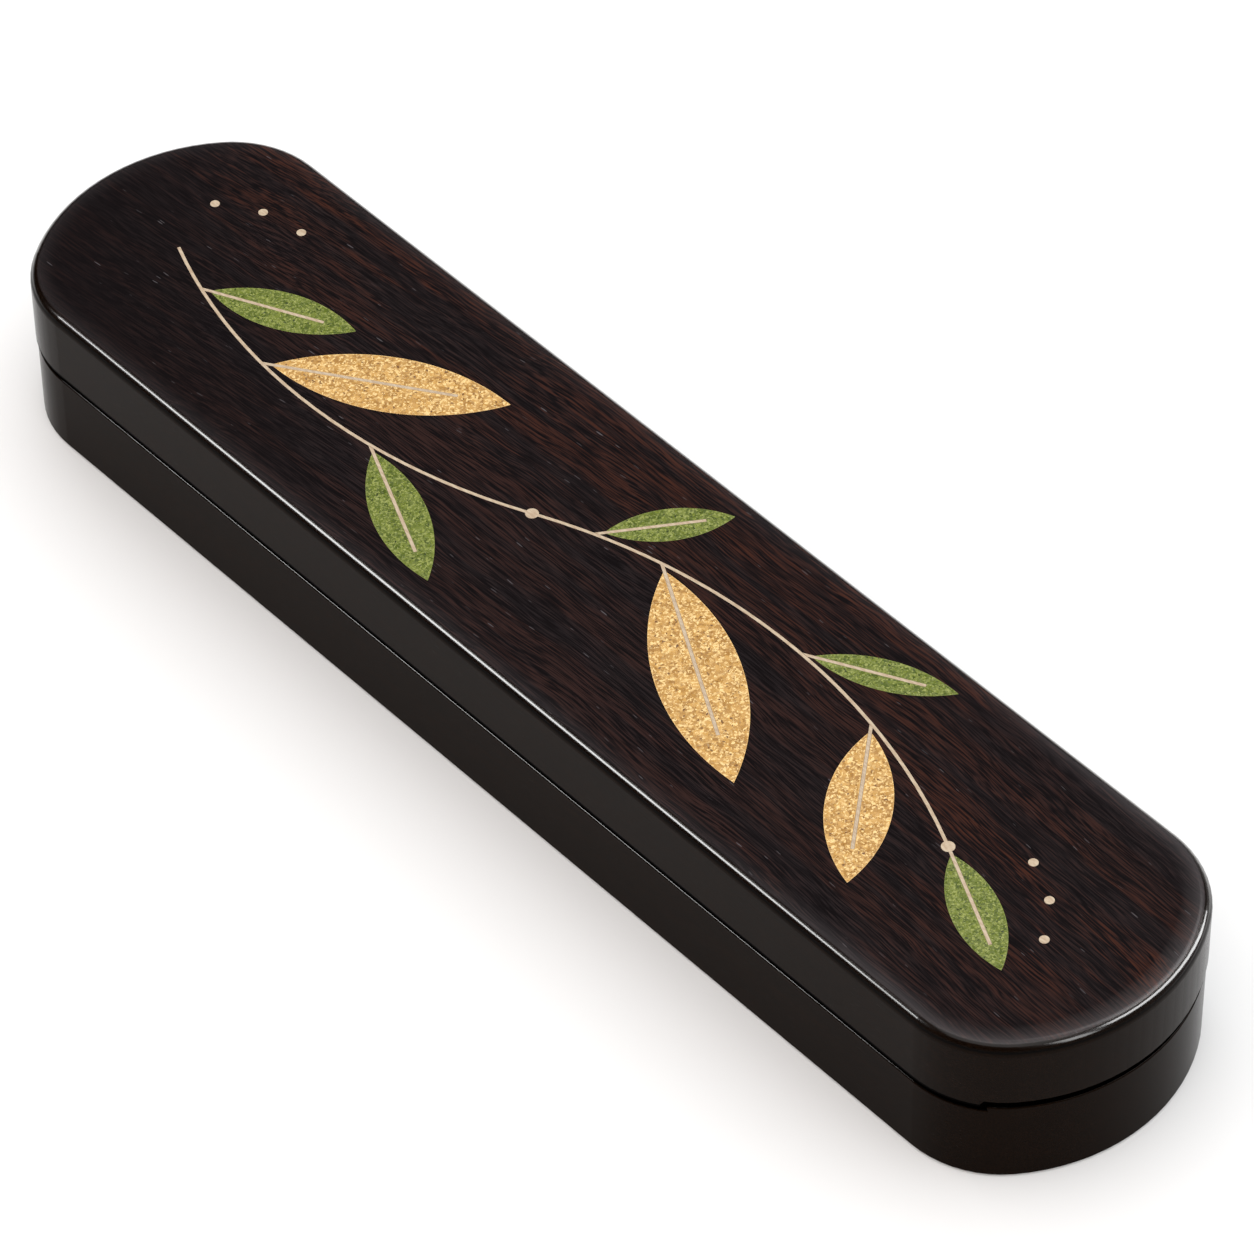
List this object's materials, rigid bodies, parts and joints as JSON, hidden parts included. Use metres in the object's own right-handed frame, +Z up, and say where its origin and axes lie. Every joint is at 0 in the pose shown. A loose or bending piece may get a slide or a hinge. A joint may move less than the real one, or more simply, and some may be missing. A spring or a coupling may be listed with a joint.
{
  "type": "incense box",
  "caption": "Long slim wooden box with broad rounded ends, a trough for incense sticks and an inlaid lid that swings sideways on a hidden pivot.",
  "frame": {"origin": "centre of the closed box's footprint, on the surface that it stands on", "axes": "+X along the box to the near end, where the lid's pivot is, +Y to the back, +Z up"},
  "size_m": [0.245, 0.055, 0.03],
  "materials": {
    "base_wood": "satin oiled wood, near black, with fine long pores",
    "lid_wood": "satin oiled wood, near black, with fine long pores",
    "brass": "turned, plain",
    "bronze": "stamped, plain",
    "spring_steel": "blank",
    "magnet": "nickel plated",
    "cream_inlay": "smooth, levelled with the wood",
    "gold_inlay": "crushed gold-coloured grains set in clear resin, polished level",
    "green_inlay": "crushed green stone set in clear resin, polished level"
  },
  "bodies": {
    "base": {"base_shell": "base_wood", "pivot_bush": "brass", "spring_washer": "spring_steel", "thrust_washer": "bronze", "screw_plug": "base_wood", "base_magnets": "magnet"},
    "lid": {"lid_shell": "lid_wood", "thread_insert": "brass", "pivot_screw": "brass", "lid_magnets": "magnet", "stem_wire": "cream_inlay", "leaf_ribs": "cream_inlay", "seed_pins": "cream_inlay", "gold_leaf_1": "gold_inlay", "gold_leaf_2": "gold_inlay", "gold_leaf_3": "gold_inlay", "green_leaf_1": "green_inlay", "green_leaf_2": "green_inlay", "green_leaf_3": "green_inlay", "green_leaf_4": "green_inlay", "green_leaf_5": "green_inlay"}
  },
  "joints": [
    {"name": "lid_swing", "type": "hinge", "parent": "base", "child": "lid", "pos_m": [0.10558, 0.0215, 0.0163], "axis": [0, 0, -1], "range_deg": [0, 108]}
  ]
}
